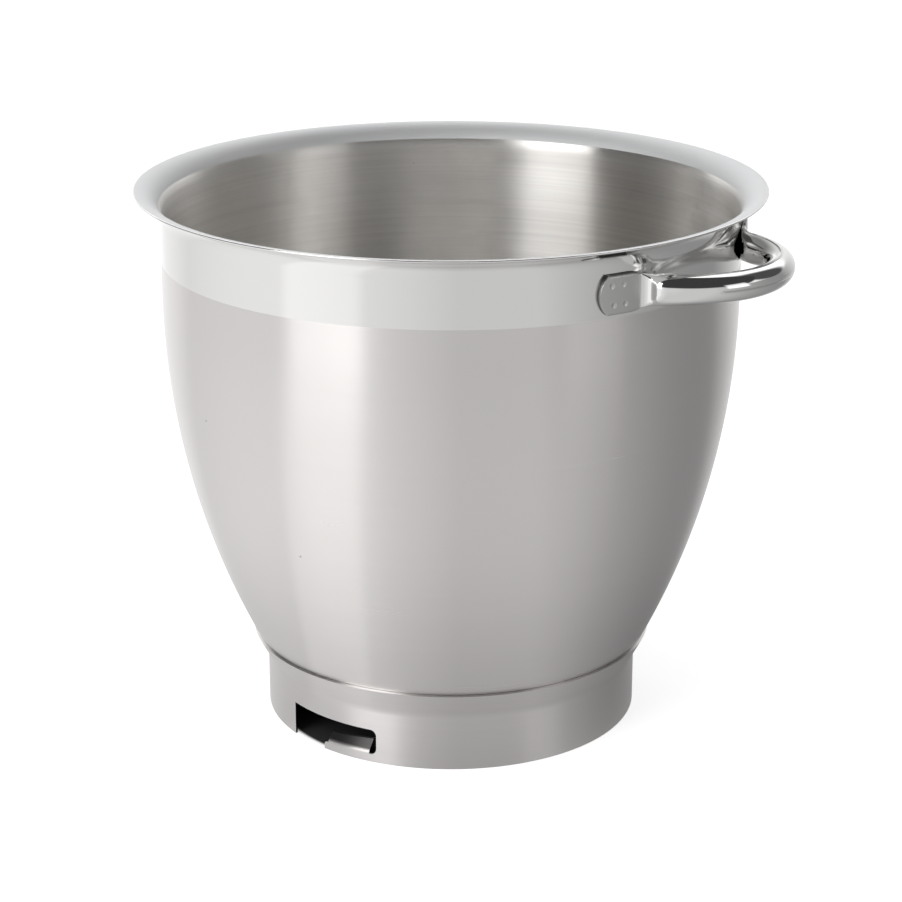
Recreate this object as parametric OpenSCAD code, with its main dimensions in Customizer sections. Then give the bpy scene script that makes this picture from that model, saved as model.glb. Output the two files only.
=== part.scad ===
// Stand mixer bowl in stainless steel: a deep-drawn bowl with a flared rim, a bayonet foot ring
// welded under it, and a loop handle of bent tube whose flattened ends are spot-welded to the wall.
// Millimetres. The bowl's axis is Z, the foot stands on Z = 0 and the handle points along +X.

/* [Bowl] */
// Outside diameter of the straight upper wall
body_d = 235.6; // [210:0.2:260]
// Height of the rim above the surface that the foot stands on
height = 224; // [200:1:260]
// Width of the lip that the rim flares out beyond the wall
flare_w = 10.2; // [6:0.2:14]
// Height of the straight wall between the flare and the top of the belly
upper_wall_h = 33; // [28:1:45]
// Thickness of the bowl's sheet
bowl_sheet = 0.8; // [0.6:0.1:1.4]
// Outside radius of the corner between belly and bottom
corner_r = 36; // [26:1:44]
// Gap between the bowl's bottom and the surface under the foot
bottom_clear = 5; // [2:0.5:10]
// Radius of the raised centre of the bottom
dimple_r = 22; // [12:1:30]
// Height of the raised centre of the bottom
dimple_h = 4; // [1:0.5:8]

/* [Foot ring] */
// Outside diameter of the foot's cylindrical wall, which drops into the mixer's seat
foot_d = 156.6; // [140:0.2:170]
// Height of the collar's top edge above the standing surface
foot_h = 34.4; // [30:0.2:44]
// How far the collar's top stands out beyond the foot's wall
collar_out = 5.6; // [3:0.2:8]
// Outside radius of the bend between wall and collar
foot_bend_r = 7; // [4:0.5:12]
// Thickness of the foot's sheet
foot_sheet = 1; // [0.8:0.1:1.5]
// Clearance between the collar and the bowl that it hugs
lap_gap = 0.05; // [0:0.01:0.2]

/* [Bayonet slots] */
// Number of slots round the foot
slot_count = 2; // [1:1:3]
// Angle from the handle to the middle of the first slot
slot_turn = -96; // [-180:0.2:180]
// Overall length of a slot, across its chord
slot_l = 44.2; // [36:0.2:56]
// Width of the open entry at one end of a slot, across its chord
slot_entry_w = 18.8; // [12:0.2:24]
// Height of a slot's top edge above the standing surface
slot_top = 14.2; // [12.5:0.2:18]
// Radius of the corners at a slot's closed end
slot_corner_r = 2.6; // [1:0.2:4]
// Height of the tongue's upright part under a slot
tongue_h = 3.4; // [2.4:0.2:5]
// Radius of the tongue's rounded tip beside the entry
tongue_tip_r = 1.6; // [0.6:0.2:2.2]
// Outside radius of the bend between the tongue and its lip
lip_bend_r = 2; // [1.6:0.1:3]
// Angle by which the lip is folded inward
lip_fold = 48; // [30:1:60]
// Height of the lip's edge above the tongue at the closed end
lip_rise = 4.8; // [3:0.2:6]
// How much the lip's edge climbs on the way from the entry to the closed end
lip_climb = 1.2; // [0:0.1:2]
// How much the fold thins the lip on each of its faces
lip_thin = 0.06; // [0.03:0.01:0.15]
// Distance by which the lip stops short of the tongue's tip and of the closed end's corner
lip_relief = 0.6; // [0.3:0.1:3]

/* [Handle] */
// Diameter of the handle's tube at the grip
grip_d = 10.4; // [8:0.1:12]
// Wall of the handle's tube
tube_wall = 1; // [0.7:0.1:1.5]
// Distance from the wall to the middle of the grip
handle_reach = 26.4; // [20:0.2:36]
// Radius of the grip's bow, on the tube's centreline
grip_bow_r = 39.4; // [34:0.2:50]
// Distance from the rim down to the middle of the handle
handle_drop = 19.2; // [18:0.2:30]
// Radius of the bend between the grip and each pad, on the tube's centreline
pad_bend_r = 9; // [7:0.5:14]
// Length of the tube over which it opens from a flat pad to its round section
open_l = 14; // [13:0.5:30]
// Length of a pad from its bend to its rounded end
pad_l = 17.6; // [14:0.2:26]
// Radius of a pad's rounded end
pad_end_r = 9.8; // [9:0.2:16]
// Clearance between the pads and the wall that they lie on
pad_gap = 0.05; // [0.02:0.01:0.2]

/* [Spot welds] */
// Diameter of a spot weld's mark in the pad
weld_d = 2; // [1:0.1:3]
// Depth of a spot weld's mark
weld_depth = 0.3; // [0.1:0.05:0.6]
// Distance along the pad between the marks
weld_pitch_l = 5.1; // [3:0.1:7]
// Distance across the pad between the marks
weld_pitch_h = 7.4; // [4:0.1:8.5]
// How much nearer to the bend the lower marks are than the upper ones
weld_skew = 1; // [0:0.1:2]
// Distance from the pad's rounded end to the middle of its marks
weld_inset = 8; // [6:0.2:12]

/* [Hidden] */
$fn = 120;
steel = [0.78, 0.78, 0.77];
polished_steel = [0.86, 0.86, 0.86];

// How far a cutting shape reaches past what it cuts
cut_past = 1;

body_r = body_d / 2;
foot_r = foot_d / 2;

// Flare: a quarter round that leaves the wall upright and ends level under the rim
flare_r = flare_w - bowl_sheet / 2;
flare_x = body_r + flare_r;
flare_z = height - bowl_sheet - flare_r;

// Belly: an arc that leaves the straight wall upright and passes just inside the collar's top edge
belly_z = flare_z - upper_wall_h;
seat_r = foot_r + collar_out - foot_sheet - lap_gap;
belly_in = body_r - seat_r;
belly_drop = belly_z - foot_h;
belly_r = (belly_in * belly_in + belly_drop * belly_drop) / (2 * belly_in);
belly_x = body_r - belly_r;

// Corner: an arc that touches the belly from inside and ends level with the flat bottom
corner_z = bottom_clear + corner_r;
corner_a = asin((belly_z - corner_z) / (belly_r - corner_r));
corner_x = belly_x + (belly_r - corner_r) * cos(corner_a);

// Raised centre: two equal arcs that leave the flat bottom and meet half-way up
dimple_a = 2 * atan(dimple_h / dimple_r);
dimple_arc_r = dimple_r / (2 * sin(dimple_a));
crown_z = bottom_clear + dimple_h - dimple_arc_r;

// Foot: its collar lies on the belly, with a bend down to the upright wall
foot_wall_in_r = foot_r - foot_sheet;
collar_in_r = belly_r + lap_gap;
collar_out_r = collar_in_r + foot_sheet;
collar_top_a = asin((belly_z - foot_h) / collar_out_r);
foot_bend_x = foot_r + foot_bend_r;
foot_bend_z = belly_z - sqrt(pow(collar_out_r + foot_bend_r, 2) - pow(foot_bend_x - belly_x, 2));
foot_bend_a = atan2(belly_z - foot_bend_z, foot_bend_x - belly_x);

// Lip: reaches round the foot from beside the tongue's tip to the closed end's corner
lip_y0 = slot_entry_w + tongue_tip_r + lip_relief - slot_l / 2;
lip_y1 = slot_l / 2 - slot_corner_r - lip_relief;
lip_a0 = asin(lip_y0 / foot_r);
lip_a1 = asin(lip_y1 / foot_r);
lip_l = (lip_rise + foot_sheet) / cos(lip_fold);
lip_tilt = atan(lip_climb / (lip_y1 - lip_y0));

// Handle seen from above: the grip is an arc about a point on the X axis, and each bend is an arc
// about a point that lies outside both the pads' circle and the grip's
handle_z = height - handle_drop;
grip_r = grip_d / 2;
pad_t = 2 * tube_wall;
grip_x = body_r + handle_reach - grip_bow_r;
pad_mid_r = body_r + pad_gap + pad_t / 2;
bend_far = pad_mid_r + pad_bend_r;
bend_near = grip_bow_r + pad_bend_r;
bend_x = (bend_far * bend_far - bend_near * bend_near + grip_x * grip_x) / (2 * grip_x);
bend_y = sqrt(bend_far * bend_far - bend_x * bend_x);
pad_a = atan2(bend_y, bend_x);
grip_a = atan2(bend_y, bend_x - grip_x);
bend_l = pad_bend_r * (grip_a - pad_a) * PI / 180;
pad_end_a = pad_a + (pad_l - pad_end_r) / pad_mid_r * 180 / PI;
weld_a = pad_a + (pad_l - weld_inset) / pad_mid_r * 180 / PI;
weld_ball_r = (weld_d * weld_d / 4 + weld_depth * weld_depth) / (2 * weld_depth);

// Half thickness from which the tube is open enough to be hollow
hollow_from = 1.3 * tube_wall;

// Pressed flat or round, the tube keeps its girth, which gives its half height
girth = PI * grip_d;
function half_height(t) = t + (girth - 2 * PI * t) / 4;
pad_h = 2 * half_height(pad_t / 2);

// Steps along the curves of the bowl's, the foot's and the lip's sections
dimple_steps = 6;
corner_steps = 20;
belly_steps = 40;
flare_steps = 18;
edge_steps = 8;
foot_bend_steps = 6;
collar_steps = 4;
lip_steps = 6;

// Steps along the pads, bends and grip, and points on each rounded side of the tube
pad_steps = 8;
bend_steps = 9;
grip_steps = 20;
side_steps = 12;

// Smooth step from 0 to 1
function ease(t) = let (c = min(max(t, 0), 1)) c * c * (3 - 2 * c);

// Half thickness of the tube at a distance along it from the end of a pad
function half_thick(l) = pad_t / 2 + (grip_r - pad_t / 2) * ease(l / open_l);

// Points of an arc about a point, from angle a0 to a1, without the first ones where first says so
function arc(x, z, r, a0, a1, steps, first = 0) =
    [for (i = [first:steps]) let (a = a0 + (a1 - a0) * i / steps) [x + r * cos(a), z + r * sin(a)]];

function reversed(points) = [for (i = [len(points) - 1:-1:0]) points[i]];

// One skin of the bowl's sheet, from the middle of the bottom out and up to the flare's end. The
// lower skin has inset 0 and the upper one the sheet's thickness
function bowl_skin(inset) = concat(
    arc(0, crown_z, dimple_arc_r + inset, 90, 90 - dimple_a, dimple_steps),
    arc(dimple_r, bottom_clear + dimple_arc_r, dimple_arc_r - inset, -90 - dimple_a, -90, dimple_steps, 1),
    arc(corner_x, corner_z, corner_r - inset, -90, -corner_a, corner_steps),
    arc(belly_x, belly_z, belly_r - inset, -corner_a, 0, belly_steps, 1),
    arc(flare_x, flare_z, flare_r + inset, 180, 90, flare_steps));

// The rim's rounded edge, from the lower skin round to just before the upper one
function rim_edge() = let (step_a = 180 / edge_steps)
    arc(flare_x, height - bowl_sheet / 2, bowl_sheet / 2, -90, 90 - step_a, edge_steps - 1, 1);

module bowl() {
    color(steel)
        rotate_extrude()
            polygon(concat(bowl_skin(0), rim_edge(), reversed(bowl_skin(bowl_sheet))));
}

// One skin of the foot ring: upright wall, bend, and the collar that lies on the belly
function foot_skin(inset) = concat(
    [[foot_r - inset, 0]],
    arc(foot_bend_x, foot_bend_z, foot_bend_r + inset, 180, 180 - foot_bend_a, foot_bend_steps),
    arc(belly_x, belly_z, collar_out_r - inset, -foot_bend_a, -collar_top_a, collar_steps, 1));

// Outline of one L-shaped slot, seen from outside: the left end is open below, the right end closed
module slot_outline() {
    left = -slot_l / 2;
    right = slot_l / 2;
    tip = left + slot_entry_w;
    below = tongue_h;
    translate([left, -below])
        square([slot_entry_w, slot_top + below]);
    // Rounded tip of the tongue
    difference() {
        translate([tip - cut_past, tongue_h - tongue_tip_r])
            square([cut_past + tongue_tip_r, tongue_tip_r]);
        translate([tip + tongue_tip_r, tongue_h - tongue_tip_r])
            circle(r = tongue_tip_r);
    }
    // Leg over the tongue, with rounded corners at its closed end
    translate([left, tongue_h])
        square([slot_l - slot_corner_r, slot_top - tongue_h]);
    translate([left, tongue_h + slot_corner_r])
        square([slot_l, slot_top - tongue_h - 2 * slot_corner_r]);
    for (z = [tongue_h + slot_corner_r, slot_top - slot_corner_r])
        translate([right - slot_corner_r, z])
            circle(r = slot_corner_r);
}

// One skin of the lip: a root inside the tongue, a bend, and a strip that slopes inward and up
function lip_skin(inset) = concat(
    [[foot_r - inset, tongue_h - foot_sheet]],
    arc(foot_r - lip_bend_r, tongue_h, lip_bend_r - inset, 0, lip_fold, lip_steps),
    [[foot_r - lip_bend_r + (lip_bend_r - inset) * cos(lip_fold) - lip_l * sin(lip_fold),
        tongue_h + (lip_bend_r - inset) * sin(lip_fold) + lip_l * cos(lip_fold)]]);

// The lip folded inward from a tongue, its edge trimmed to climb towards the closed end
module tongue_lip() {
    difference() {
        rotate([0, 0, lip_a0])
            rotate_extrude(angle = lip_a1 - lip_a0)
                polygon(concat(lip_skin(lip_thin), reversed(lip_skin(foot_sheet - lip_thin))));
        rotate([0, 0, lip_a1])
            translate([foot_r - 2 * lip_l, 0, tongue_h + lip_rise])
                rotate([lip_tilt, 0, 0])
                    translate([0, -2 * slot_l, 0])
                        cube([4 * lip_l, 3 * slot_l, 2 * lip_l]);
    }
}

module foot_ring() {
    color(steel)
        union() {
            difference() {
                rotate_extrude()
                    polygon(concat(foot_skin(0), reversed(foot_skin(foot_sheet))));
                for (i = [0:slot_count - 1])
                    rotate([0, 0, slot_turn + 360 * i / slot_count])
                        translate([foot_r - slot_top, 0, 0])
                            rotate([90, 0, 90])
                                linear_extrude(2 * slot_top)
                                    slot_outline();
            }
            for (i = [0:slot_count - 1])
                rotate([0, 0, slot_turn + 360 * i / slot_count])
                    tongue_lip();
        }
}

// A station of the handle's tube: the point on its centreline, the direction of its thickness
// as an angle seen from above, and its half thickness
function pad_station(a) = [pad_mid_r * cos(a), pad_mid_r * sin(a), a, pad_t / 2];
function bend_station(a, l) =
    [bend_x - pad_bend_r * cos(a), bend_y - pad_bend_r * sin(a), a, half_thick(l)];
function grip_station(a, l) =
    [grip_x + grip_bow_r * cos(a), grip_bow_r * sin(a), a, half_thick(l)];

// Stations from beyond a pad's end, through its bend, to the middle of the grip
half_stations = let (run_a = (pad_l + cut_past) / pad_mid_r * 180 / PI) concat(
    [for (i = [0:pad_steps - 1]) pad_station(pad_a + run_a * (1 - i / pad_steps))],
    [for (i = [0:bend_steps]) let (u = i / bend_steps)
        bend_station(pad_a + (grip_a - pad_a) * u, bend_l * u)],
    [for (i = [1:grip_steps]) let (a = grip_a * (1 - i / grip_steps))
        grip_station(a, bend_l + grip_bow_r * (grip_a - a) * PI / 180)]);

// The same stations from the middle on, mirrored in the XZ plane
other_stations = [for (i = [len(half_stations) - 2:-1:0]) let (s = half_stations[i])
    [s[0], -s[1], -s[2], s[3]]];

// Stations where the tube has opened far enough to be hollow
hollow_stations = [for (s = concat(half_stations, other_stations)) if (s[3] > hollow_from) s];

// Ring of points round a station, inset from the tube's outside: two half circles and flat sides
function tube_ring(s, inset) = [for (side = [1, -1], k = [0:side_steps - 1])
    let (
        b = 180 * (k + 0.5) / side_steps,
        d = side * (s[3] - inset) * cos(b),
        h = side * (half_height(s[3]) - s[3] + (s[3] - inset) * sin(b)))
    [s[0] + d * cos(s[2]), s[1] + d * sin(s[2]), handle_z + h]];

// Closed skin over a row of stations, inset from the tube's outside
module tube(stations, inset) {
    n = 2 * side_steps;
    last = len(stations) - 1;
    polyhedron(
        points = [for (s = stations) each tube_ring(s, inset)],
        faces = concat(
            [[for (k = [0:n - 1]) k]],
            [for (j = [0:last - 1], k = [0:n - 1])
                [j * n + k, (j + 1) * n + (k + 1) % n, j * n + (k + 1) % n]],
            [for (j = [0:last - 1], k = [0:n - 1])
                [j * n + k, (j + 1) * n + k, (j + 1) * n + (k + 1) % n]],
            [[for (k = [n - 1:-1:0]) last * n + k]]),
        convexity = 6);
}

// What is trimmed off beyond a pad's rounded end, and the pits of its four spot welds
module pad_cuts() {
    rotate([0, 0, pad_end_a])
        translate([body_r - pad_l, 0, handle_z])
            rotate([90, 0, 90])
                linear_extrude(2 * pad_l)
                    difference() {
                        translate([0, -pad_h])
                            square([2 * pad_l, 2 * pad_h]);
                        circle(r = pad_end_r);
                    }
    for (l = [-1, 1], h = [-1, 1])
        rotate([0, 0, weld_a + (l * weld_pitch_l + h * weld_skew) / 2 / pad_mid_r * 180 / PI])
            translate([pad_mid_r + pad_t / 2 + weld_ball_r - weld_depth, 0, handle_z + h * weld_pitch_h / 2])
                sphere(r = weld_ball_r);
}

module handle() {
    color(polished_steel)
        difference() {
            tube(concat(half_stations, other_stations), 0);
            tube(hollow_stations, tube_wall);
            for (side = [0, 1])
                mirror([0, side, 0])
                    pad_cuts();
        }
}

bowl();
foot_ring();
handle();
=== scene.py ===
"""Looks of a stand mixer bowl: the drawn bowl, its bayonet foot, its bent tube handle and a pale studio."""
import math

import bpy
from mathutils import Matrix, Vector


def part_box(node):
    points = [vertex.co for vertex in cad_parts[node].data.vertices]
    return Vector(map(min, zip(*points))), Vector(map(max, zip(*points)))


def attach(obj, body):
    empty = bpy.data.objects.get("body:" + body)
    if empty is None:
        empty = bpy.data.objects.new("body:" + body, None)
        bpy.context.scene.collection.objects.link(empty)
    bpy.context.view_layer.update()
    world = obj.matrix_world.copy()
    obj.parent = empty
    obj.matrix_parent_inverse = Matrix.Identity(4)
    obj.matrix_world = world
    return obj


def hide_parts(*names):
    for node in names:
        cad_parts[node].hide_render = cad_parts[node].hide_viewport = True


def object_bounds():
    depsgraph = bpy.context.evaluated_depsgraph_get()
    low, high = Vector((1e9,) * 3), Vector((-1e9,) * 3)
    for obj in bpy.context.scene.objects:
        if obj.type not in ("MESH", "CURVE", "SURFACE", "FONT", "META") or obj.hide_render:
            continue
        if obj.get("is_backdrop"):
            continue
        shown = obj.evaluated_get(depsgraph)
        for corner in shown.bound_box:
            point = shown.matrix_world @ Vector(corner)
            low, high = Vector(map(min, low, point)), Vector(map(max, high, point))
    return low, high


bl_info = {
    "name": "Stand Mixer Bowl",
    "version": (1, 0, 0),
    "blender": (4, 5, 0),
    "location": "View3D > Sidebar > Mixer Bowl",
    "description": "Builds the fine meshes, steel finishes and studio of a stand mixer bowl",
    "category": "Add Mesh",
}

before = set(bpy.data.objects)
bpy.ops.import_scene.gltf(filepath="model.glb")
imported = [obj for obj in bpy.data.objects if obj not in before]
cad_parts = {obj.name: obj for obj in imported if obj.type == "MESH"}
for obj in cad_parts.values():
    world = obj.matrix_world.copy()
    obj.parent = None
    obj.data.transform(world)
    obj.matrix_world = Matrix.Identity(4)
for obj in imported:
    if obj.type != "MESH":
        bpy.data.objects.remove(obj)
CAD_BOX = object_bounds()
BOWL_LOW, BOWL_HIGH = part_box("bowl")
FOOT_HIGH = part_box("foot_ring")[1]
HANDLE_LOW, HANDLE_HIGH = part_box("handle")
UP = Vector((0.0, 0.0, 1.0))
LEVEL = (1.0, 1.0, 0.0)

# Shape: the collar's width beyond the foot's wall, the flare's share that is satin, and the neck of
# the tube, with lengths in metres
COLLAR_OUT = 0.0056
FOOT_WALL = FOOT_HIGH.x - COLLAR_OUT
FLARE_SATIN_SHARE = 0.55
NARROWING_SHARE = 0.7
SHIFT_RISE = 0.004
SHIFT_HOLD = 0.006
SHIFT_FALL = 0.008
SATIN_END = 0.001
WELD_RIM = 0.7
WELD_RIM_SHARE = 0.12
WELD_UNEVEN = 0.25

# Grain: lines per metre, how fast they end along the ring, unevenness, and the swings that they give
# the roughness and the tone
BODY_GRAIN = (1500.0, 7.0, 0.4, 0.05, 0.07)
INSIDE_GRAIN = (1200.0, 5.0, 0.9, 0.20, 0.36)
FOOT_GRAIN = (1600.0, 9.0, 0.4, 0.05, 0.06)
POLISHED_GRAIN = (1800.0, 4.0, 0.3, 0.03, 0.02)

# Shades: how much darker the satin pads and specks are, and how strong the painted shade is at the pads'
# edges by the wall, in a thin painted shadow line above the collar and in the folded lip
SATIN_SHADE = 0.30
PAD_EDGE_PAINTED_SHADE = 0.55
SPECK_SHADE = 0.5
SEAM_PAINTED_SHADOW = 0.85
SEAM_PAINTED_SHADOW_WIDTH = 0.0003
LIP_PAINTED_SHADE = 0.80
LIP_PAINTED_SHADE_FADE = 0.0009
LIP_PAINTED_SHADE_START = FOOT_WALL - 0.0003

# Studio: places are angles in degrees to the right of the camera, seen from the bowl. Low brightness is
# that of the horizon and of the floor's painted glow that the steel reflects, which is brighter on the left
# and in front of the softbox and darker on the right. Each edge gives the cosines between which a region
# begins
CAMERA_BEARING = -56.8
RIGHT_SIDE = 110.0
BACK_SIDE = 180.0
SOFTBOX_SIDE = -47.5
PANEL_SIDE = 57.0
LOW_FRONT = 0.70
LOW_LEFT = 0.98
LOW_RIGHT = 0.31
LOW_BY_LAMP = 0.15
LOW_BY_BACK = 0.45
LEFT_EDGE = (-1.0, -0.3)
RIGHT_EDGE = (0.2, 1.0)
LAMP_EDGE = (0.955, 0.975)
BACK_EDGE = (0.45, 0.95)
PANEL_EDGE = (0.972, 0.985)
PANEL_BRIGHT = 1.0
PANEL_TOP = (0.45, 0.55)
HIGH_BRIGHT = 1.45
FRONT_HORIZON = (0.28, 0.42)
SIDE_HORIZON = (0.04, 0.12)

# Dark regions overhead: side, rise, cosine at the edge, cosine at the core and brightness
FRONT_CONE = (12.0, 58.0, 0.52, 0.60, 0.05)
LEFT_CONE = (-88.0, 24.0, 0.64, 0.82, 0.05)
RIGHT_CONE = (112.0, 36.0, 0.86, 0.95, 0.08)

# Softbox and floor: lengths in metres, and the floor's painted shade under and near the foot
SOFTBOX_DISTANCE = 2.2
SOFTBOX_RISE = 1.35
SOFTBOX_WIDTH = 1.38
SOFTBOX_TALL = 2.1
UNDER_FOOT_PAINTED_SHADE = 0.06
FOOT_PAINTED_SHADE_EDGE = (FOOT_WALL - 0.0035, FOOT_WALL - 0.0012)
REFLECTED_FOOT_SHADE_EDGE = (FOOT_WALL - 0.001, FOOT_WALL)
NEAR_FOOT_SHADE_RANGE = (0.08, 0.22)
NEAR_FOOT_SHADED_BRIGHT = 0.72


class BowlSizes(bpy.types.PropertyGroup):
    """Sizes of the drawn bowl"""
    wall_radius: bpy.props.FloatProperty(
        name="Wall radius", description="Outside radius of the straight upper wall",
        default=0.1178, unit="LENGTH")
    height: bpy.props.FloatProperty(
        name="Height", description="Height of the rim above the standing surface",
        default=BOWL_HIGH.z, unit="LENGTH")
    flare_width: bpy.props.FloatProperty(
        name="Flare width", description="How far the rim flares out beyond the wall",
        default=BOWL_HIGH.x - 0.1178, unit="LENGTH")
    upper_wall: bpy.props.FloatProperty(
        name="Upper wall", description="Height of the straight wall under the flare",
        default=0.033, unit="LENGTH")
    sheet: bpy.props.FloatProperty(
        name="Sheet", description="Thickness of the bowl's sheet", default=0.0008, unit="LENGTH")
    bottom: bpy.props.FloatProperty(
        name="Bottom", description="Gap between the bowl's bottom and the standing surface",
        default=BOWL_LOW.z, unit="LENGTH")
    corner_radius: bpy.props.FloatProperty(
        name="Corner radius", description="Outside radius between belly and bottom",
        default=0.036, unit="LENGTH")
    seat_radius: bpy.props.FloatProperty(
        name="Seat radius", description="Radius of the belly at the collar's top edge",
        default=0.08285, unit="LENGTH")
    seat_height: bpy.props.FloatProperty(
        name="Seat height", description="Height of the collar's top edge",
        default=0.0344, unit="LENGTH")
    dimple_radius: bpy.props.FloatProperty(
        name="Dimple radius", description="Radius of the raised centre of the bottom",
        default=0.022, unit="LENGTH")
    dimple_height: bpy.props.FloatProperty(
        name="Dimple height", description="Height of the raised centre of the bottom",
        default=0.004, unit="LENGTH")
    band_bottom: bpy.props.FloatProperty(
        name="Band bottom", description="Height at which the polished band under the rim begins",
        default=0.1956, unit="LENGTH")
    around: bpy.props.IntProperty(
        name="Around", description="Faces round the bowl", default=256, min=64, max=384)


class HandleSizes(bpy.types.PropertyGroup):
    """Sizes of the bent tube handle"""
    tube_radius: bpy.props.FloatProperty(
        name="Tube radius", description="Radius of the round tube at the grip",
        default=0.0056, unit="LENGTH")
    tube_wall: bpy.props.FloatProperty(
        name="Tube wall", description="Thickness of the tube's wall", default=0.001, unit="LENGTH")
    reach: bpy.props.FloatProperty(
        name="Reach", description="Distance from the bowl's axis to the middle of the grip",
        default=HANDLE_HIGH.x - 0.0056, unit="LENGTH")
    bow_radius: bpy.props.FloatProperty(
        name="Bow radius", description="Radius of the grip's bow", default=0.0394, unit="LENGTH")
    level: bpy.props.FloatProperty(
        name="Level", description="Height of the middle of the tube",
        default=0.5 * (HANDLE_LOW.z + HANDLE_HIGH.z), unit="LENGTH")
    pad_height: bpy.props.FloatProperty(
        name="Pad height", description="Height of the tube where it is pressed flat",
        default=HANDLE_HIGH.z - HANDLE_LOW.z, unit="LENGTH")
    grip_lift: bpy.props.FloatProperty(
        name="Grip lift", description="How much higher the middle of the grip lies than the pads",
        default=0.0004, unit="LENGTH")
    bend_radius: bpy.props.FloatProperty(
        name="Bend radius", description="Radius of the bend between grip and pad",
        default=0.009, unit="LENGTH")
    open_length: bpy.props.FloatProperty(
        name="Opening length", description="Length over which the tube opens from flat to round",
        default=0.0115, unit="LENGTH")
    neck_extra: bpy.props.FloatProperty(
        name="Neck extra", description="How much higher than round half the tube is at its neck",
        default=0.0007, unit="LENGTH")
    neck_start: bpy.props.FloatProperty(
        name="Neck start", description="How far before its bend a pad begins to narrow",
        default=0.004, unit="LENGTH")
    neck_shift: bpy.props.FloatProperty(
        name="Neck shift", description="How far the opening tube is shifted off the wall",
        default=0.0005, unit="LENGTH")
    neck_length: bpy.props.FloatProperty(
        name="Neck length", description="Length over which the neck becomes round",
        default=0.03, unit="LENGTH")
    pad_length: bpy.props.FloatProperty(
        name="Pad length", description="Length of a pad from its bend to its rounded end",
        default=0.0176, unit="LENGTH")
    pad_end_radius: bpy.props.FloatProperty(
        name="Pad end radius", description="Radius of a pad's rounded end",
        default=0.0098, unit="LENGTH")
    pad_gap: bpy.props.FloatProperty(
        name="Pad gap", description="Clearance between a pad and the wall",
        default=0.00005, unit="LENGTH")
    edge_radius: bpy.props.FloatProperty(
        name="Edge radius", description="Rounding of a pad's trimmed edge",
        default=0.0003, unit="LENGTH")
    weld_radius: bpy.props.FloatProperty(
        name="Weld radius", description="Radius of a spot weld's mark", default=0.0011, unit="LENGTH")
    weld_depth: bpy.props.FloatProperty(
        name="Weld depth", description="Depth of a spot weld's mark", default=0.0003, unit="LENGTH")
    weld_pitch: bpy.props.FloatVectorProperty(
        name="Weld pitch", description="Distance between the marks along and across the pad",
        default=(0.0051, 0.0074), size=2, unit="LENGTH")
    weld_skew: bpy.props.FloatProperty(
        name="Weld skew", description="How much nearer to the bend the lower marks are",
        default=0.001, unit="LENGTH")
    weld_inset: bpy.props.FloatProperty(
        name="Weld inset", description="Distance from the pad's rounded end to the middle of its marks",
        default=0.008, unit="LENGTH")


class SteelColours(bpy.types.PropertyGroup):
    """Colours of the steel finishes"""
    brushed: bpy.props.FloatVectorProperty(
        name="Brushed", description="Colour of the brushed outside", subtype="COLOR",
        size=3, default=(0.735, 0.712, 0.703), min=0.0, max=1.0)
    inside: bpy.props.FloatVectorProperty(
        name="Inside", description="Colour of the brushed inside", subtype="COLOR",
        size=3, default=(0.93, 0.912, 0.885), min=0.0, max=1.0)
    polished: bpy.props.FloatVectorProperty(
        name="Polished", description="Colour of the polished band and rim", subtype="COLOR",
        size=3, default=(0.785, 0.78, 0.772), min=0.0, max=1.0)
    flare: bpy.props.FloatVectorProperty(
        name="Flare", description="Colour of the flare's satin upper side", subtype="COLOR",
        size=3, default=(0.92, 0.926, 0.932), min=0.0, max=1.0)
    tube: bpy.props.FloatVectorProperty(
        name="Tube", description="Colour of the polished tube", subtype="COLOR",
        size=3, default=(0.78, 0.778, 0.77), min=0.0, max=1.0)


class StudioSettings(bpy.types.PropertyGroup):
    """Camera, lamps and floor"""
    eye: bpy.props.FloatVectorProperty(
        name="Eye", description="Place of the camera", size=3, subtype="TRANSLATION",
        default=(0.5371, -0.8208, 0.4433), unit="LENGTH")
    aim: bpy.props.FloatVectorProperty(
        name="Aim", description="Point that the camera looks at", size=3, subtype="TRANSLATION",
        default=(0.0, 0.0, 0.1092), unit="LENGTH")
    lens: bpy.props.FloatProperty(
        name="Lens", description="Focal length in millimetres on a 36 mm sensor", default=98.53)
    floor_radius: bpy.props.FloatProperty(
        name="Floor radius", description="Radius of the pale floor", default=6.0, unit="LENGTH")
    floor_white: bpy.props.FloatProperty(
        name="Floor white", description="Whiteness of the floor's paper", default=0.82)
    floor_lift: bpy.props.FloatProperty(
        name="Floor lift", description="How much brighter the floor shows than it is lit", default=0.60)
    ambient: bpy.props.FloatProperty(
        name="Ambient", description="Strength of the world's light on rough surfaces", default=0.62)
    softbox_power: bpy.props.FloatProperty(
        name="Softbox power", description="Power of the large softbox on the left", default=25.0,
        unit="POWER")


class MixerBowlSettings(bpy.types.PropertyGroup):
    """All the settings of the mixer bowl"""
    bowl: bpy.props.PointerProperty(type=BowlSizes)
    handle: bpy.props.PointerProperty(type=HandleSizes)
    colours: bpy.props.PointerProperty(type=SteelColours)
    studio: bpy.props.PointerProperty(type=StudioSettings)


# Mesh helpers

def arc(centre, radius, start, end, steps, side):
    """Points of an arc as (r, z, normal r, normal z); side is 1 where the normal leaves the centre."""
    points = []
    for i in range(steps + 1):
        a = math.radians(start + (end - start) * i / steps)
        c = math.cos(a)
        s = math.sin(a)
        points.append((centre[0] + radius * c, centre[1] + radius * s, side * c, side * s))
    return points


def without_repeats(points):
    """The section's points, without those that repeat the one before."""
    kept = [points[0]]
    for p in points[1:]:
        if math.dist(p[:2], kept[-1][:2]) > 1e-6:
            kept.append(p)
    return kept


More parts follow.
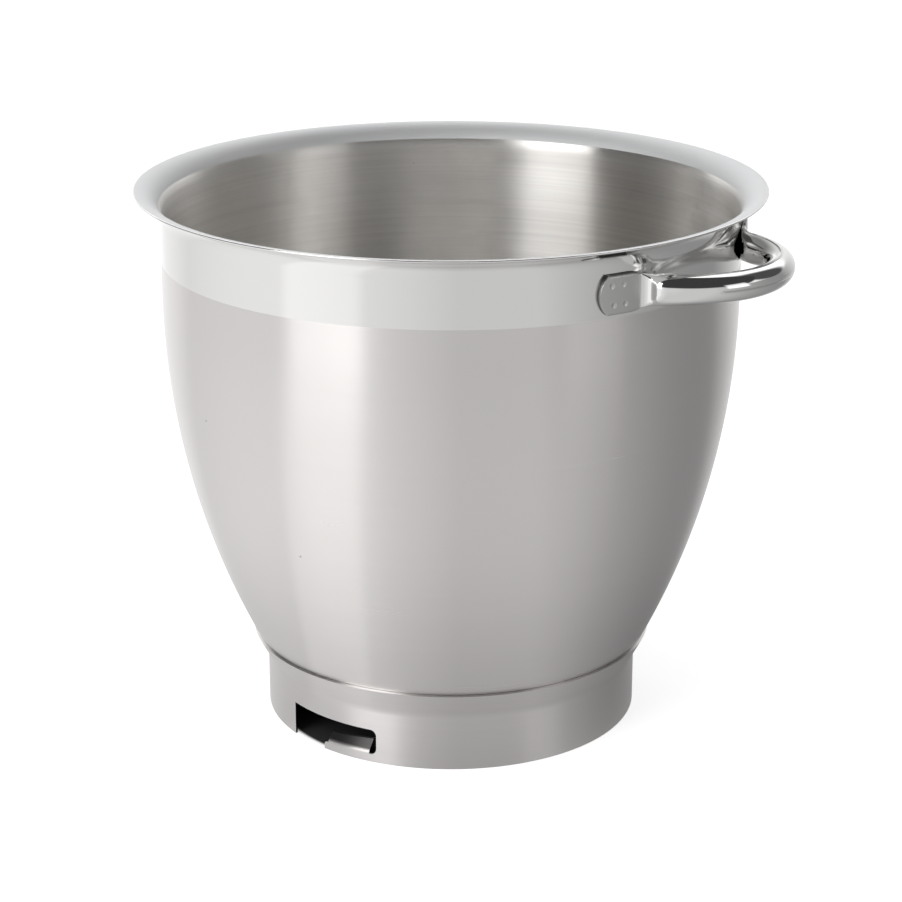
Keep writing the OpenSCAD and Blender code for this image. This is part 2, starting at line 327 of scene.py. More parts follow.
def revolve(name, section, around, finish_of):
    """A closed mesh turned from a section round Z, with exact normals and a finish for each row."""
    verts = []
    normals = []
    rings = []
    for r, z, nr, nz in section:
        if r < 1e-6:
            rings.append([len(verts)] * around)
            verts.append((0.0, 0.0, z))
            normals.append((0.0, 0.0, math.copysign(1.0, nz)))
            continue
        rings.append(range(len(verts), len(verts) + around))
        for k in range(around):
            a = 2 * math.pi * k / around
            verts.append((r * math.cos(a), r * math.sin(a), z))
            normals.append((nr * math.cos(a), nr * math.sin(a), nz))
    faces = []
    finishes = []
    for i in range(len(rings) - 1):
        for k in range(around):
            n = (k + 1) % around
            corners = [rings[i][k], rings[i][n], rings[i + 1][n], rings[i + 1][k]]
            faces.append(list(dict.fromkeys(corners)))
            finishes.append(finish_of(i))
    mesh = bpy.data.meshes.new(name)
    mesh.from_pydata(verts, [], faces)
    mesh.polygons.foreach_set("use_smooth", [True] * len(faces))
    mesh.polygons.foreach_set("material_index", finishes)
    mesh.update()
    mesh.normals_split_custom_set_from_vertices(normals)
    return new_object(name, mesh)


def new_object(name, mesh):
    """A mesh object of that name in the scene."""
    piece = bpy.data.objects.new(name, mesh)
    bpy.context.scene.collection.objects.link(piece)
    return piece


def seat(piece, node):
    """Makes a piece stand for a CAD node and ride on the part."""
    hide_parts(node)
    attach(piece, "root")


def smooth_step(t):
    """Smooth step from 0 to 1."""
    c = min(max(t, 0.0), 1.0)
    return c * c * (3.0 - 2.0 * c)


# Sections of the bowl

def bowl_skin(s, inset):
    """One skin of the bowl's sheet, from the middle of the bottom to the flare's end."""
    out = 1 if inset == 0.0 else -1
    arc_a = 2 * math.atan(s.dimple_height / s.dimple_radius)
    arc_r = s.dimple_radius / (2 * math.sin(arc_a))
    arc_deg = math.degrees(arc_a)
    flare_r = s.flare_width - s.sheet / 2
    flare = (s.wall_radius + flare_r, s.height - s.sheet - flare_r)
    belly_z = flare[1] - s.upper_wall
    belly_in = s.wall_radius - s.seat_radius
    belly_drop = belly_z - s.seat_height
    belly_r = (belly_in ** 2 + belly_drop ** 2) / (2 * belly_in)
    belly = (s.wall_radius - belly_r, belly_z)
    corner_z = s.bottom + s.corner_radius
    corner_a = math.asin((belly_z - corner_z) / (belly_r - s.corner_radius))
    corner_x = belly[0] + (belly_r - s.corner_radius) * math.cos(corner_a)
    corner_deg = math.degrees(corner_a)
    wall_x = s.wall_radius - inset
    return without_repeats(
        arc((0.0, s.bottom + s.dimple_height - arc_r), arc_r + inset, 90, 90 - arc_deg, 6, -out)
        + arc((s.dimple_radius, s.bottom + arc_r), arc_r - inset, -90 - arc_deg, -90, 6, out)
        + [(s.dimple_radius + (corner_x - s.dimple_radius) * i / 5, s.bottom + inset, 0.0, -out)
           for i in range(1, 5)]
        + arc((corner_x, corner_z), s.corner_radius - inset, -90, -corner_deg, 20, out)
        + arc(belly, belly_r - inset, -corner_deg, 0, 40, out)
        + [(wall_x, z, out, 0.0) for z in wall_levels(s, belly_z, flare[1])]
        + arc(flare, flare_r + inset, 180, 90, 18, -out))


def wall_levels(s, low, high):
    """Levels of the rows in the straight wall, with one at the polished band's lower edge."""
    below = [low + (s.band_bottom - low) * i / 4 for i in range(1, 4)]
    above = [s.band_bottom + (high - s.band_bottom) * i / 5 for i in range(5)]
    return below + above


# Sections and stations of the handle

class HandleLine:
    """The tube's centreline seen from above, and the tube's section along it"""
    CAP_STEPS = 28
    PAD_STEPS = 44
    BEND_STEPS = 18
    GRIP_STEPS = 64

    def __init__(self, s, wall_radius):
        self.s = s
        self.pad_t = s.tube_wall
        self.pad_r = wall_radius + s.pad_gap + self.pad_t
        self.grip_x = s.reach - s.bow_radius
        far = self.pad_r + s.bend_radius
        near = s.bow_radius + s.bend_radius
        self.bend_x = (far ** 2 - near ** 2 + self.grip_x ** 2) / (2 * self.grip_x)
        self.bend_y = math.sqrt(far ** 2 - self.bend_x ** 2)
        self.pad_a = math.atan2(self.bend_y, self.bend_x)
        self.grip_a = math.atan2(self.bend_y, self.bend_x - self.grip_x)
        self.bend_l = s.bend_radius * (self.grip_a - self.pad_a)
        self.half_l = self.bend_l + s.bow_radius * self.grip_a

    def half_height(self, t):
        """Half height of the tube where it is pressed to half thickness t."""
        s = self.s
        opened = (t - self.pad_t) / (s.tube_radius - self.pad_t)
        return s.pad_height / 2 + (s.tube_radius - s.pad_height / 2) * opened

    def place(self, l):
        """Point and direction of thickness at a distance from the pad's bend, on the +Y half."""
        s = self.s
        if l <= 0:
            a = self.pad_a - l / self.pad_r
            return self.pad_r * math.cos(a), self.pad_r * math.sin(a), a
        if l <= self.bend_l:
            a = self.pad_a + l / s.bend_radius
            return self.bend_x - s.bend_radius * math.cos(a), self.bend_y - s.bend_radius * math.sin(a), a
        a = self.grip_a - (l - self.bend_l) / s.bow_radius
        return self.grip_x + s.bow_radius * math.cos(a), s.bow_radius * math.sin(a), a

    def section(self, l):
        """Half thickness, half height and corner radius of the tube at a distance from the bend."""
        s = self.s
        t = self.pad_t + (s.tube_radius - self.pad_t) * smooth_step(l / s.open_length)
        narrowed = smooth_step((l + s.neck_start) / (NARROWING_SHARE * s.open_length + s.neck_start))
        h = self.half_height(self.pad_t + (s.tube_radius - self.pad_t) * narrowed)
        if l > 0:
            h += s.neck_extra * smooth_step(l / s.open_length) * (1 - smooth_step(l / s.neck_length))
        past = -l - (s.pad_length - s.pad_end_radius)
        if past <= 0:
            return t, h, t
        cut = math.sqrt(max(s.pad_end_radius ** 2 - past ** 2, 1e-10))
        if cut >= h:
            return t, h, t
        return t, cut, min(s.edge_radius, cut)

    def stations(self):
        """Distances from the bend, from a pad's tip to the middle of the grip."""
        s = self.s
        middle = s.pad_length - s.pad_end_radius
        turn = math.acos(min(self.half_height(self.pad_t) / s.pad_end_radius, 1.0))
        grip_l = self.half_l - self.bend_l
        cap = [-middle - s.pad_end_radius * math.sin(turn + (math.pi / 2 - turn) * (1 - i / self.CAP_STEPS))
               for i in range(self.CAP_STEPS + 1)]
        pad = [cap[-1] * (1 - i / self.PAD_STEPS) for i in range(1, self.PAD_STEPS + 1)]
        bend = [self.bend_l * i / self.BEND_STEPS for i in range(1, self.BEND_STEPS + 1)]
        grip = [self.bend_l + grip_l * i / self.GRIP_STEPS for i in range(1, self.GRIP_STEPS + 1)]
        return cap + pad + bend + grip


def ring_outline(t, h, c, corner_steps, side_steps):
    """Points round a tube's section: half thickness t, half height h, corner radius c, as (across, up)."""
    points = []
    for across, up, start in ((1, 1, 0), (-1, 1, 90), (-1, -1, 180), (1, -1, 270)):
        for i in range(corner_steps + 1):
            a = math.radians(start + 90 * i / corner_steps)
            points.append((across * (t - c) + c * math.cos(a), up * (h - c) + c * math.sin(a)))
        if start in (90, 270):
            top = up * (h - c)
            x = -t if start == 90 else t
            points += [(x, top * (1 - 2 * i / side_steps)) for i in range(1, side_steps)]
    return points


def weld_sink(s, l, up, mirror):
    """How deep the spot welds' marks sink a pad's face at a distance from the bend and a height."""
    middle = -(s.pad_length - s.weld_inset)
    sink = 0.0
    for i in (-1, 1):
        for j in (-1, 1):
            at_l = middle + 0.5 * (i * s.weld_pitch[0] - j * s.weld_skew)
            at_up = 0.5 * j * s.weld_pitch[1]
            away = math.hypot(l - at_l, up - at_up) / s.weld_radius
            uneven = 1.0 + WELD_UNEVEN * math.sin(5.0 * i + 3.0 * j + 2.0 * mirror)
            if away < 1.0:
                sink += s.weld_depth * uneven * (1 - away ** 2) ** 1.5
            elif away < 1.0 + WELD_RIM:
                sink -= WELD_RIM_SHARE * s.weld_depth * math.sin(math.pi * (away - 1) / WELD_RIM)
    return sink


def build_handle_mesh(name, s, wall_radius):
    """The bent tube with its two flat pads, as one mesh with masks for the pads and for painted shade on
    their edges.
    """
    line = HandleLine(s, wall_radius)
    half = line.stations()
    runs = [(l, 1) for l in half] + [(l, -1) for l in reversed(half[:-1])]
    corner_steps = 8
    side_steps = 46
    verts = []
    satin = []
    pad_edge_shade = []
    for l, mirror in runs:
        x, y, a = line.place(l)
        t, h, c = line.section(l)
        shifted = smooth_step(l / SHIFT_RISE) * (1 - smooth_step((l - SHIFT_HOLD) / SHIFT_FALL))
        off_wall = s.neck_shift * shifted
        for across, up in ring_outline(t, h, c, corner_steps, side_steps):
            # mask for painted shade on the pad's edges and on the side facing the wall
            pad_edge_shade.append(1.0 if l < -SATIN_END and across < 0.6 * t else 0.0)
            if across > 0.9 * t and l < 0:
                across -= weld_sink(s, l, up, mirror)
            reach = Vector((math.cos(a), mirror * math.sin(a), 0.0)) * (across + off_wall)
            level = s.level + s.grip_lift * smooth_step(l / s.neck_length)
            verts.append(Vector((x, mirror * y, level + up)) + reach)
            satin.append(1.0 - smooth_step((l + SATIN_END) / (2 * SATIN_END)))
    n = len(verts) // len(runs)
    faces = [list(range(n))]
    for j in range(len(runs) - 1):
        for k in range(n):
            m = (k + 1) % n
            faces.append([j * n + k, (j + 1) * n + k, (j + 1) * n + m, j * n + m])
    faces.append(list(range(len(verts) - 1, len(verts) - n - 1, -1)))
    mesh = bpy.data.meshes.new(name)
    mesh.from_pydata(verts, [], faces)
    for label, values in (("satin", satin), ("pad_edge_shade", pad_edge_shade)):
        mask = mesh.attributes.new(label, "FLOAT", "POINT")
        mask.data.foreach_set("value", values)
    mesh.polygons.foreach_set("use_smooth", [True] * len(faces))
    mesh.update()
    return new_object(name, mesh)


# Node helpers

def add_node(tree, kind, inputs=None, **values):
    """A new node with its properties set, and its inputs set or linked by name."""
    node = tree.nodes.new(kind)
    for key, value in values.items():
        setattr(node, key, value)
    for key, value in (inputs or {}).items():
        if isinstance(value, bpy.types.NodeSocket):
            tree.links.new(value, node.inputs[key])
        else:
            node.inputs[key].default_value = value
    return node


def maths(tree, operation, a, b=0.0, clamp=False):
    """The value of a Math node."""
    node = add_node(tree, "ShaderNodeMath", {0: a, 1: b}, operation=operation, use_clamp=clamp)
    return node.outputs[0]


def less(tree, value, mask, share):
    """A value lowered by a share where a mask is 1."""
    return maths(tree, "SUBTRACT", value, maths(tree, "MULTIPLY", mask, share))


def facing(tree, way, direction):
    """Cosine of the angle between a direction of travel and a fixed direction."""
    ends = {0: way, 1: direction}
    return add_node(tree, "ShaderNodeVectorMath", ends, operation="DOT_PRODUCT").outputs["Value"]


def levelled(tree, vector):
    """The vector without its height."""
    return add_node(tree, "ShaderNodeVectorMath", {0: vector, 1: LEVEL}, operation="MULTIPLY").outputs[0]


def length_of(tree, vector):
    """The length of a vector."""
    return add_node(tree, "ShaderNodeVectorMath", {0: vector}, operation="LENGTH").outputs["Value"]


def bearing(side, rise=0.0):
    """Unit vector towards an angle to the right of the camera and an angle above the floor."""
    a = math.radians(CAMERA_BEARING + side)
    e = math.radians(rise)
    return Vector((math.cos(a) * math.cos(e), math.sin(a) * math.cos(e), math.sin(e)))


def spread(tree, value, low, high, to_low, to_high, smooth=False):
    """A value mapped from one range to another."""
    kind = "SMOOTHSTEP" if smooth else "LINEAR"
    ends = {"Value": value, "From Min": low, "From Max": high, "To Min": to_low, "To Max": to_high}
    return add_node(tree, "ShaderNodeMapRange", ends, interpolation_type=kind).outputs["Result"]


def new_group(name, inputs, outputs):
    """A shader node group with the named float or vector sockets, its tree and its two end nodes."""
    tree = bpy.data.node_groups.new(name, "ShaderNodeTree")
    for label, kind, default in inputs:
        socket = tree.interface.new_socket(label, in_out="INPUT", socket_type=kind)
        if default is not None:
            socket.default_value = default
    for label, kind in outputs:
        tree.interface.new_socket(label, in_out="OUTPUT", socket_type=kind)
    return tree, tree.nodes.new("NodeGroupInput"), tree.nodes.new("NodeGroupOutput")


def brushed_grain_group():
    """Fine lines that run round Z: a height for the bump and a tone for the roughness and colour."""
    tree, given, made = new_group(
        "BrushedGrain",
        [("Lines", "NodeSocketFloat", 1800.0), ("Length", "NodeSocketFloat", 6.0),
         ("Unevenness", "NodeSocketFloat", 0.5)],
        [("Height", "NodeSocketFloat"), ("Tone", "NodeSocketFloat")])
    place = add_node(tree, "ShaderNodeTexCoord").outputs["Object"]
    parts = add_node(tree, "ShaderNodeSeparateXYZ", {0: place}).outputs
    run = maths(tree, "ADD", parts[2], length_of(tree, levelled(tree, place)))
    along_x = maths(tree, "MULTIPLY", parts[0], given.outputs["Length"])
    along_y = maths(tree, "MULTIPLY", parts[1], given.outputs["Length"])
    waves = []
    for share, detail in ((1.0, 3.0), (0.31, 2.0), (0.045, 2.0)):
        across = maths(tree, "MULTIPLY", run, maths(tree, "MULTIPLY", given.outputs["Lines"], share))
        where = add_node(tree, "ShaderNodeCombineXYZ", {0: along_x, 1: along_y, 2: across}).outputs[0]
        noise = add_node(tree, "ShaderNodeTexNoise", {"Vector": where, "Scale": 1.0, "Detail": detail})
        waves.append(noise.outputs[0])
    fine = maths(tree, "ADD", maths(tree, "MULTIPLY", waves[0], 0.6),
                 maths(tree, "MULTIPLY", waves[1], 0.4))
    broad = maths(tree, "MULTIPLY", maths(tree, "SUBTRACT", waves[2], 0.5), given.outputs["Unevenness"])
    tree.links.new(fine, made.inputs["Height"])
    tree.links.new(maths(tree, "ADD", fine, broad), made.inputs["Tone"])
    return tree


def smear_group():
    """Faint uneven patches and a few tiny specks, as a change of roughness and a mask."""
    tree, given, made = new_group(
        "FaintSmears",
        [("Patch Scale", "NodeSocketFloat", 14.0), ("Speck Scale", "NodeSocketFloat", 90.0),
         ("Speck Share", "NodeSocketFloat", 0.03)],
        [("Patches", "NodeSocketFloat"), ("Specks", "NodeSocketFloat")])
    place = add_node(tree, "ShaderNodeTexCoord").outputs["Object"]
    patch = add_node(tree, "ShaderNodeTexNoise",
                     {"Vector": place, "Scale": given.outputs["Patch Scale"], "Detail": 3.0}).outputs[0]
    cells = add_node(tree, "ShaderNodeTexVoronoi",
                     {"Vector": place, "Scale": given.outputs["Speck Scale"]}).outputs
    near = spread(tree, cells["Distance"], 0.02, 0.05, 1.0, 0.0)
    draw = add_node(tree, "ShaderNodeSeparateColor", {0: cells["Color"]}).outputs[0]
    chosen = maths(tree, "LESS_THAN", draw, given.outputs["Speck Share"])
    tree.links.new(maths(tree, "SUBTRACT", patch, 0.5), made.inputs["Patches"])
    tree.links.new(maths(tree, "MULTIPLY", near, chosen), made.inputs["Specks"])
    return tree


def studio_tone_group():
    """How bright the studio looks in a direction from the bowl, low down and above the horizon."""
    tree, given, made = new_group(
        "StudioTone", [("Direction", "NodeSocketVector", None)],
        [("Low", "NodeSocketFloat"), ("Tone", "NodeSocketFloat")])
    way = given.outputs["Direction"]
    flat = add_node(tree, "ShaderNodeVectorMath", {0: levelled(tree, way)}, operation="NORMALIZE")
    flat = flat.outputs[0]

    def cone(side, rise, edge, core, dark):
        """Brightness overhead with one dark region."""
        across = facing(tree, way, bearing(side, rise))
        return spread(tree, across, edge, core, HIGH_BRIGHT, dark, smooth=True)

    rightward = facing(tree, flat, bearing(RIGHT_SIDE))
    left = spread(tree, rightward, *LEFT_EDGE, LOW_LEFT - LOW_FRONT, 0.0)
    right = spread(tree, rightward, *RIGHT_EDGE, 0.0, LOW_RIGHT - LOW_FRONT)
    lamp = spread(tree, facing(tree, flat, bearing(SOFTBOX_SIDE)), *LAMP_EDGE, 0.0, LOW_BY_LAMP)
    back = spread(tree, facing(tree, flat, bearing(BACK_SIDE)), *BACK_EDGE, 0.0, LOW_BY_BACK)
    sides = maths(tree, "ADD", maths(tree, "ADD", left, right), back)
    low = maths(tree, "ADD", maths(tree, "ADD", sides, lamp), LOW_FRONT)
    height = add_node(tree, "ShaderNodeSeparateXYZ", {0: way}).outputs[2]
    above = spread(tree, height, *FRONT_HORIZON, 0.0, 1.0, smooth=True)
    over_floor = spread(tree, height, *SIDE_HORIZON, 0.0, 1.0, smooth=True)
    panel = spread(tree, facing(tree, flat, bearing(PANEL_SIDE)), *PANEL_EDGE, 0.0, PANEL_BRIGHT)
    panel = maths(tree, "MULTIPLY", panel, over_floor)
    panel = maths(tree, "MULTIPLY", panel, spread(tree, height, *PANEL_TOP, 1.0, 0.0))
    front = add_node(tree, "ShaderNodeMix", {0: above, 2: low, 3: cone(*FRONT_CONE)}).outputs[0]
    front = maths(tree, "ADD", front, panel)
    aside = maths(tree, "MINIMUM", cone(*LEFT_CONE), cone(*RIGHT_CONE))
    aside = add_node(tree, "ShaderNodeMix", {0: over_floor, 2: HIGH_BRIGHT, 3: aside}).outputs[0]
    tree.links.new(low, made.inputs["Low"])
    tree.links.new(maths(tree, "MINIMUM", front, aside), made.inputs["Tone"])
    return tree


def steel(name, colour, roughness, grain, anisotropy=0.0, depth=0.0, patches=0.03, satin=None,
          painted_shadow_height=None, shade_inside_radius=None):
    """A steel finish: brushed lines round Z, faint smears and specks, an optional satin mask with painted
    shade on the pads' edges, an optional thin painted shadow line that begins at a height, and an optional
    radius inside which painted shade darkens the colour."""
    material = bpy.data.materials.new(name)
    material.use_nodes = True
    tree = material.node_tree
    shader = tree.nodes["Principled BSDF"]
    shader.inputs["Metallic"].default_value = 1.0
    shader.inputs["Anisotropic"].default_value = anisotropy
    shader.inputs["Anisotropic Rotation"].default_value = 0.25
    lines, length, uneven, roughness_swing, tone_swing = grain
    brushed = add_node(tree, "ShaderNodeGroup", node_tree=bpy.data.node_groups["BrushedGrain"])
    brushed.inputs["Lines"].default_value = lines
    brushed.inputs["Length"].default_value = length
    brushed.inputs["Unevenness"].default_value = uneven
    smears = add_node(tree, "ShaderNodeGroup", node_tree=bpy.data.node_groups["FaintSmears"])
    tone = maths(tree, "SUBTRACT", brushed.outputs["Tone"], 0.5)
    rough = maths(tree, "ADD", maths(tree, "MULTIPLY", tone, roughness_swing), roughness)
    rough = maths(tree, "ADD", rough, maths(tree, "MULTIPLY", smears.outputs["Patches"], patches))
    shade = maths(tree, "ADD", maths(tree, "MULTIPLY", tone, tone_swing), 1.0)
    if satin is not None:
        mask = add_node(tree, "ShaderNodeAttribute", attribute_name="satin").outputs["Fac"]
        rough = maths(tree, "ADD", rough, maths(tree, "MULTIPLY", mask, satin))
        shade = less(tree, shade, mask, SATIN_SHADE)
        # painted shade: this mask darkens the pads' edges and the side against the wall
        edge = add_node(tree, "ShaderNodeAttribute", attribute_name="pad_edge_shade").outputs["Fac"]
        shade = less(tree, shade, edge, PAD_EDGE_PAINTED_SHADE)
    if painted_shadow_height is not None:
        place = add_node(tree, "ShaderNodeTexCoord").outputs["Object"]
        height = add_node(tree, "ShaderNodeSeparateXYZ", {0: place}).outputs[2]
        # painted shadow: a thin dark line on the belly just above the collar's top edge stands in for the
        # shade where the collar meets the bowl
        shadow = spread(tree, height, painted_shadow_height, painted_shadow_height + SEAM_PAINTED_SHADOW_WIDTH, 1.0, 0.0)
        shade = less(tree, shade, shadow, SEAM_PAINTED_SHADOW)
    if shade_inside_radius is not None:
        place = add_node(tree, "ShaderNodeTexCoord").outputs["Object"]
        radius = length_of(tree, levelled(tree, place))
        # painted shade: the colour darkens inward of the foot's wall, so the folded lip and the ring's
        # inside look shaded
        lip_shade = spread(tree, radius, shade_inside_radius - LIP_PAINTED_SHADE_FADE, shade_inside_radius, 1.0, 0.0)
        shade = less(tree, shade, lip_shade, LIP_PAINTED_SHADE)
    tree.links.new(rough, shader.inputs["Roughness"])
    shade = less(tree, shade, smears.outputs["Specks"], SPECK_SHADE)
    tint = add_node(tree, "ShaderNodeVectorMath", {0: colour, "Scale": shade}, operation="SCALE")
    tree.links.new(tint.outputs[0], shader.inputs["Base Color"])
    if depth > 0.0:
        bump = add_node(tree, "ShaderNodeBump",
                        {"Height": brushed.outputs["Height"], "Distance": depth, "Strength": 1.0})
        tree.links.new(bump.outputs[0], shader.inputs["Normal"])
    if anisotropy > 0.0:
        tangent = add_node(tree, "ShaderNodeTangent", direction_type="RADIAL", axis="Z")
        tree.links.new(tangent.outputs[0], shader.inputs["Tangent"])
    return material


def polished_steel(colours):
    """Nearly mirror-bright steel of the band and the flare's underside."""
    return steel("polished_band", colours.polished, roughness=0.10, grain=POLISHED_GRAIN, depth=0.0000004)


def brushed_outside(colours):
    """Brushed steel of the bowl's outside."""
    return steel("brushed_outside", colours.brushed, roughness=0.26, grain=BODY_GRAIN, anisotropy=0.98,
                 depth=0.0000012, painted_shadow_height=FOOT_HIGH.z)


def brushed_inside(colours):
    """Brushed steel of the bowl's inside."""
    return steel("brushed_inside", colours.inside, roughness=0.37, grain=INSIDE_GRAIN, anisotropy=1.0,
                 depth=0.00001)


def satin_flare(colours):
    """Satin steel of the flare's upper side."""
    return steel("satin_flare", colours.flare, roughness=0.72, grain=POLISHED_GRAIN)


def brushed_foot(colours):
    """Brushed steel of the foot ring."""
    return steel("brushed_foot", colours.brushed, roughness=0.36, grain=FOOT_GRAIN, anisotropy=0.93,
                 depth=0.0000012, shade_inside_radius=LIP_PAINTED_SHADE_START)


def polished_tube(colours):
    """Mirror-polished steel of the tube, satin on its pads."""
    return steel("polished_tube", colours.tube, roughness=0.07, grain=POLISHED_GRAIN, satin=0.26)


# Operators

class MIXERBOWL_OT_bowl(bpy.types.Operator):
    """Builds the drawn bowl with its flared rim and polished band"""
    bl_idname = "mixerbowl.bowl"
    bl_label = "Drawn Bowl"

    def execute(self, context):
        settings = context.scene.mixer_bowl
        s = settings.bowl
        outside = bowl_skin(s, 0.0)
        inside = bowl_skin(s, s.sheet)[::-1]
        edge = arc((outside[-1][0], s.height - s.sheet / 2), s.sheet / 2, -90, 90, 8, 1)
        section = without_repeats(outside + edge + inside)
        last_outside = len(without_repeats(outside + edge)) - 1
        flare_start = s.height - s.sheet - FLARE_SATIN_SHARE * s.flare_width

        def finish_of(row):
            if row >= last_outside:
                return 3 if section[row + 1][1] > flare_start else 2
            return 1 if section[row][1] > s.band_bottom - 1e-6 else 0

        piece = revolve("drawn_bowl", section, s.around, finish_of)
        for material in (brushed_outside(settings.colours), polished_steel(settings.colours),
                         brushed_inside(settings.colours), satin_flare(settings.colours)):
            piece.data.materials.append(material)
        seat(piece, "bowl")
        return {"FINISHED"}


class MIXERBOWL_OT_foot(bpy.types.Operator):
    """Finishes the bayonet foot ring"""
    bl_idname = "mixerbowl.foot"
    bl_label = "Bayonet Foot"

    def execute(self, context):
        material = brushed_foot(context.scene.mixer_bowl.colours)
        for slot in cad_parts["foot_ring"].material_slots:
            slot.material = material
        return {"FINISHED"}


class MIXERBOWL_OT_handle(bpy.types.Operator):
    """Builds the bent tube handle with its spot-welded pads"""
    bl_idname = "mixerbowl.handle"
    bl_label = "Tube Handle"

    def execute(self, context):
        settings = context.scene.mixer_bowl
        piece = build_handle_mesh("tube_handle", settings.handle, settings.bowl.wall_radius)
        piece.data.materials.append(polished_tube(settings.colours))
        seat(piece, "handle")
        return {"FINISHED"}


def build_world(ambient):
    """A white world for the camera, toned by direction in the steel, and even for rough surfaces."""
    world = bpy.data.worlds.new("studio_world")
    world.use_nodes = True
    tree = world.node_tree
    path = add_node(tree, "ShaderNodeLightPath").outputs
    way = add_node(tree, "ShaderNodeTexCoord").outputs["Generated"]
    tone = add_node(tree, "ShaderNodeGroup", node_tree=bpy.data.node_groups["StudioTone"])
    tree.links.new(way, tone.inputs["Direction"])
    mirrored = maths(tree, "MAXIMUM", path["Is Glossy Ray"], path["Is Transmission Ray"])
    lit = add_node(tree, "ShaderNodeMix", {0: mirrored, 2: ambient, 3: tone.outputs["Tone"]}).outputs[0]
    shown = add_node(tree, "ShaderNodeMix", {0: path["Is Camera Ray"], 2: lit, 3: 1.0}).outputs[0]
    tree.links.new(shown, tree.nodes["Background"].inputs["Strength"])
    tree.nodes["Background"].inputs["Color"].default_value = (1.0, 1.0, 1.0, 1.0)
    bpy.context.scene.world = world


def floor_paper(white, lift):
    """Pale paper that keeps its shadows and shows nearly white, with painted shade under the foot, and with
    a painted glow for glossy rays, toned by direction and darkened near and under the foot, that the steel
    reflects; it is clear from below."""
    material = bpy.data.materials.new("floor_paper")
    material.use_nodes = True
    tree = material.node_tree
    tree.nodes.remove(tree.nodes["Principled BSDF"])
    path = add_node(tree, "ShaderNodeLightPath").outputs
    point = add_node(tree, "ShaderNodeNewGeometry").outputs["Position"]
    away = length_of(tree, point)
    # painted shade: the floor's glow is cut off under the foot and dimmed near it
    outside = spread(tree, away, *REFLECTED_FOOT_SHADE_EDGE, 0.0, 1.0)
    past_foot_shade = spread(tree, away, *FOOT_PAINTED_SHADE_EDGE, 0.0, 1.0, smooth=True)
    near = spread(tree, away, *NEAR_FOOT_SHADE_RANGE, NEAR_FOOT_SHADED_BRIGHT, 1.0, smooth=True)
    tone = add_node(tree, "ShaderNodeGroup", node_tree=bpy.data.node_groups["StudioTone"])
    tree.links.new(point, tone.inputs["Direction"])
    mirrored = maths(tree, "MAXIMUM", path["Is Glossy Ray"], path["Is Transmission Ray"])
    # painted shade: the paper's colour is nearly black under the foot
    paper_white = spread(tree, past_foot_shade, 0.0, 1.0, UNDER_FOOT_PAINTED_SHADE * white, white)
    diffuse = add_node(tree, "ShaderNodeBsdfDiffuse", {"Color": paper_white})
    seen = maths(tree, "MULTIPLY", maths(tree, "MULTIPLY", path["Is Camera Ray"], past_foot_shade), lift)
    shown = add_node(tree, "ShaderNodeEmission", {"Strength": seen})
    paper = add_node(tree, "ShaderNodeAddShader", {0: diffuse.outputs[0], 1: shown.outputs[0]})
    # painted light: for glossy rays the floor glows with the studio's low brightness instead of being lit
    painted_glow = maths(tree, "MULTIPLY", maths(tree, "MULTIPLY", outside, near), tone.outputs["Low"])
    painted_glow_shader = add_node(tree, "ShaderNodeEmission", {"Strength": painted_glow})
    both = add_node(tree, "ShaderNodeMixShader", {0: mirrored, 1: paper.outputs[0], 2: painted_glow_shader.outputs[0]})
    below = add_node(tree, "ShaderNodeNewGeometry").outputs["Backfacing"]
    clear = add_node(tree, "ShaderNodeBsdfTransparent")
    sided = add_node(tree, "ShaderNodeMixShader", {0: below, 1: both.outputs[0], 2: clear.outputs[0]})
    tree.links.new(sided.outputs[0], tree.nodes["Material Output"].inputs["Surface"])
    return material


def build_floor(radius, material):
    """A large round floor at the level that the foot stands on."""
    steps = 96
    turns = [2 * math.pi * k / steps for k in range(steps)]
    verts = [(radius * math.cos(a), radius * math.sin(a), 0.0) for a in turns]
    mesh = bpy.data.meshes.new("floor")
    mesh.from_pydata(verts, [], [list(range(steps))])
    mesh.materials.append(material)
    floor = new_object("floor", mesh)
    floor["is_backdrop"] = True


def add_softbox(name, power):
    """The tall lamp on the left, aimed at the bowl and unseen itself."""
    lamp = bpy.data.lights.new(name, "AREA")
    lamp.shape = "RECTANGLE"
    lamp.size = SOFTBOX_WIDTH
    lamp.size_y = SOFTBOX_TALL
    lamp.energy = power
    holder = bpy.data.objects.new(name, lamp)
    bpy.context.scene.collection.objects.link(holder)
    holder.location = bearing(SOFTBOX_SIDE) * SOFTBOX_DISTANCE + UP * SOFTBOX_RISE
    aim = Vector((0.0, 0.0, 0.5 * BOWL_HIGH.z)) - holder.location
    holder.rotation_euler = aim.to_track_quat("-Z", "Y").to_euler()
    holder.visible_camera = False


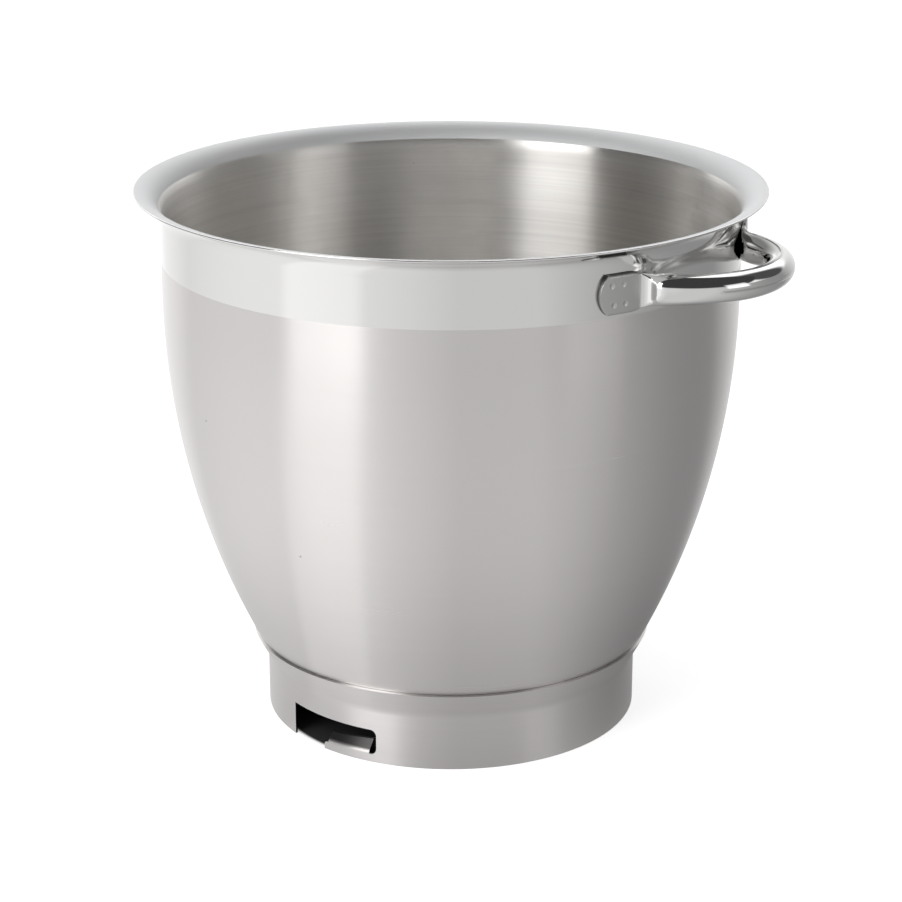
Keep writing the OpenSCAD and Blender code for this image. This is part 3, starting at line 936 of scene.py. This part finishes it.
class MIXERBOWL_OT_stage(bpy.types.Operator):
    """Sets the camera, the lamps, the world and the pale floor"""
    bl_idname = "mixerbowl.stage"
    bl_label = "Studio"

    def execute(self, context):
        s = context.scene.mixer_bowl.studio
        camera = bpy.data.cameras.new("camera")
        camera.lens = s.lens
        camera.sensor_width = 36.0
        holder = bpy.data.objects.new("camera", camera)
        context.scene.collection.objects.link(holder)
        holder.location = s.eye
        holder.rotation_euler = (Vector(s.aim) - Vector(s.eye)).to_track_quat("-Z", "Y").to_euler()
        context.scene.camera = holder
        context.scene.view_settings.view_transform = "Standard"
        build_world(s.ambient)
        build_floor(s.floor_radius, floor_paper(s.floor_white, s.floor_lift))
        add_softbox("softbox_left", s.softbox_power)
        return {"FINISHED"}


class VIEW3D_PT_mixer_bowl(bpy.types.Panel):
    """Lists the pieces of the mixer bowl and its studio"""
    bl_idname = "VIEW3D_PT_mixer_bowl"
    bl_label = "Mixer Bowl"
    bl_space_type = "VIEW_3D"
    bl_region_type = "UI"
    bl_category = "Mixer Bowl"

    def draw(self, context):
        for operator in OPERATORS:
            self.layout.operator(operator.bl_idname)


OPERATORS = (MIXERBOWL_OT_bowl, MIXERBOWL_OT_foot, MIXERBOWL_OT_handle, MIXERBOWL_OT_stage)
GROUPS = (BowlSizes, HandleSizes, SteelColours, StudioSettings, MixerBowlSettings)


def register():
    for kind in GROUPS + OPERATORS + (VIEW3D_PT_mixer_bowl,):
        bpy.utils.register_class(kind)
    bpy.types.Scene.mixer_bowl = bpy.props.PointerProperty(type=MixerBowlSettings)


def unregister():
    del bpy.types.Scene.mixer_bowl
    for kind in (VIEW3D_PT_mixer_bowl,) + OPERATORS[::-1] + GROUPS[::-1]:
        bpy.utils.unregister_class(kind)


def main():
    register()
    brushed_grain_group()
    smear_group()
    studio_tone_group()
    bpy.ops.mixerbowl.bowl()
    bpy.ops.mixerbowl.foot()
    bpy.ops.mixerbowl.handle()
    bpy.ops.mixerbowl.stage()
    boxes = {"cad": CAD_BOX, "visual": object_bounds()}
    {name: [list(corner) for corner in box] for name, box in boxes.items()}


if __name__ == "__main__":
    main()
